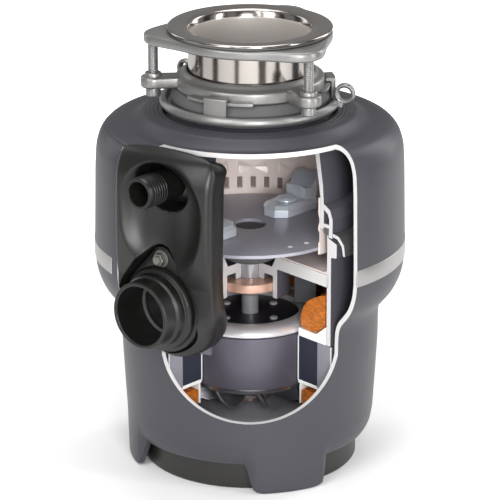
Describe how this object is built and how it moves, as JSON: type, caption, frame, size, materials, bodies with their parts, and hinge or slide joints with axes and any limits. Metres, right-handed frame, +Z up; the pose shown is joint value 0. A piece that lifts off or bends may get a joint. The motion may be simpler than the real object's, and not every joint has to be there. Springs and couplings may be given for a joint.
{
  "type": "kitchen garbage disposal",
  "caption": "Under-sink food waste disposer shown as a sectioned display unit: sink flange and mount, grind chamber with swivel lugs, motor, ribbed outlet and a two-tone sound shell.",
  "frame": {"origin": "on the motor's axis, at the underside of the base", "axes": "+Z up along the motor's axis, -Y towards the cut-away front, +X to the front's right"},
  "size_m": [0.218, 0.2186, 0.314],
  "materials": {
    "sink_chrome": "mirror polished stainless steel",
    "cast_metal": "satin die casting",
    "spring_steel": "zinc plated",
    "rubber": "matte",
    "container": "smooth satin with pale cut faces",
    "stainless": "brushed, warm tone",
    "black_plastic": "soft satin",
    "base_plastic": "satin",
    "plate_steel": "dark satin",
    "lug_steel": "bright",
    "bronze": "pinkish bronze",
    "shaft_steel": "ground",
    "laminations": "edge-on steel sheets",
    "slot_varnish": "dark varnish",
    "copper": "varnished copper wire",
    "insulation": "matte white",
    "rotor_steel": "ground steel",
    "rotor_aluminium": "bright cast",
    "sound_shell": "slate grey satin with a fine grain and pale cut faces",
    "trim_metal": "bright brushed band",
    "switch_body": "dark moulding",
    "red_plastic": "satin"
  },
  "bodies": {
    "housing": {"sink_flange": "sink_chrome", "fiber_gasket": "rubber", "backup_flange": "cast_metal", "mounting_ring": "cast_metal", "mounting_screw_1": "spring_steel", "mounting_screw_2": "spring_steel", "mounting_screw_3": "spring_steel", "snap_ring": "spring_steel", "cushion_mount": "rubber", "splash_baffle": "rubber", "hopper": "container", "dishwasher_inlet": "black_plastic", "grind_ring": "stainless", "container_seal": "rubber", "clamp_band": "cast_metal", "drain_housing": "container", "floor_liner": "stainless", "shaft_seal": "rubber", "upper_bearing": "bronze", "start_switch": "switch_body", "stator_core": "laminations", "stator_teeth": "slot_varnish", "upper_winding": "copper", "lower_winding": "copper", "upper_insulator": "insulation", "lower_insulator": "insulation", "motor_can": "laminations", "lower_end_frame": "cast_metal", "lower_bearing": "bronze", "through_bolt_1": "spring_steel", "through_bolt_2": "spring_steel", "through_bolt_3": "spring_steel", "through_bolt_4": "spring_steel", "upper_shell": "sound_shell", "lower_shell": "sound_shell", "trim_band": "trim_metal", "outlet_cover": "black_plastic", "outlet_gasket": "rubber", "outlet_flange": "black_plastic", "outlet_bolt": "spring_steel", "base_cup": "base_plastic", "wiring_hatch": "cast_metal", "hatch_screw": "spring_steel", "cable_bushing": "rubber", "overload_protector": "switch_body"},
    "rotor": {"turntable": "plate_steel", "turntable_hub": "plate_steel", "rotor_shaft": "shaft_steel", "wrench_socket": "spring_steel", "rotor_core": "rotor_steel", "rotor_end_ring": "rotor_aluminium", "rotor_end_plate": "slot_varnish", "rotor_fan": "rotor_aluminium", "lug_rivet_1": "lug_steel", "lug_rivet_2": "lug_steel"},
    "lug_1": {"lug_1": "lug_steel"},
    "lug_2": {"lug_2": "lug_steel"},
    "lock_ring": {"lock_ring": "cast_metal"},
    "reset_button": {"reset_button": "red_plastic"}
  },
  "joints": [
    {"name": "rotor_spin", "type": "hinge", "parent": "housing", "child": "rotor", "pos_m": [0, 0, 0.1], "axis": [0, 0, 1], "continuous": true},
    {"name": "lug_1_swing", "type": "hinge", "parent": "rotor", "child": "lug_1", "pos_m": [0.02564, 0.0275, 0.174], "axis": [0, 0, 1], "continuous": true},
    {"name": "lug_2_swing", "type": "hinge", "parent": "rotor", "child": "lug_2", "pos_m": [-0.02564, -0.0275, 0.174], "axis": [0, 0, 1], "continuous": true},
    {"name": "lock_ring_turn", "type": "hinge", "parent": "housing", "child": "lock_ring", "pos_m": [0, 0, 0.26], "axis": [0, 0, 1], "range_deg": [0, 36]},
    {"name": "reset_button_press", "type": "slide", "parent": "housing", "child": "reset_button", "axis": [0, 0, 1], "range_m": [0, 0.003], "stiffness_N_per_m": 300, "springref_m": -0.003}
  ]
}
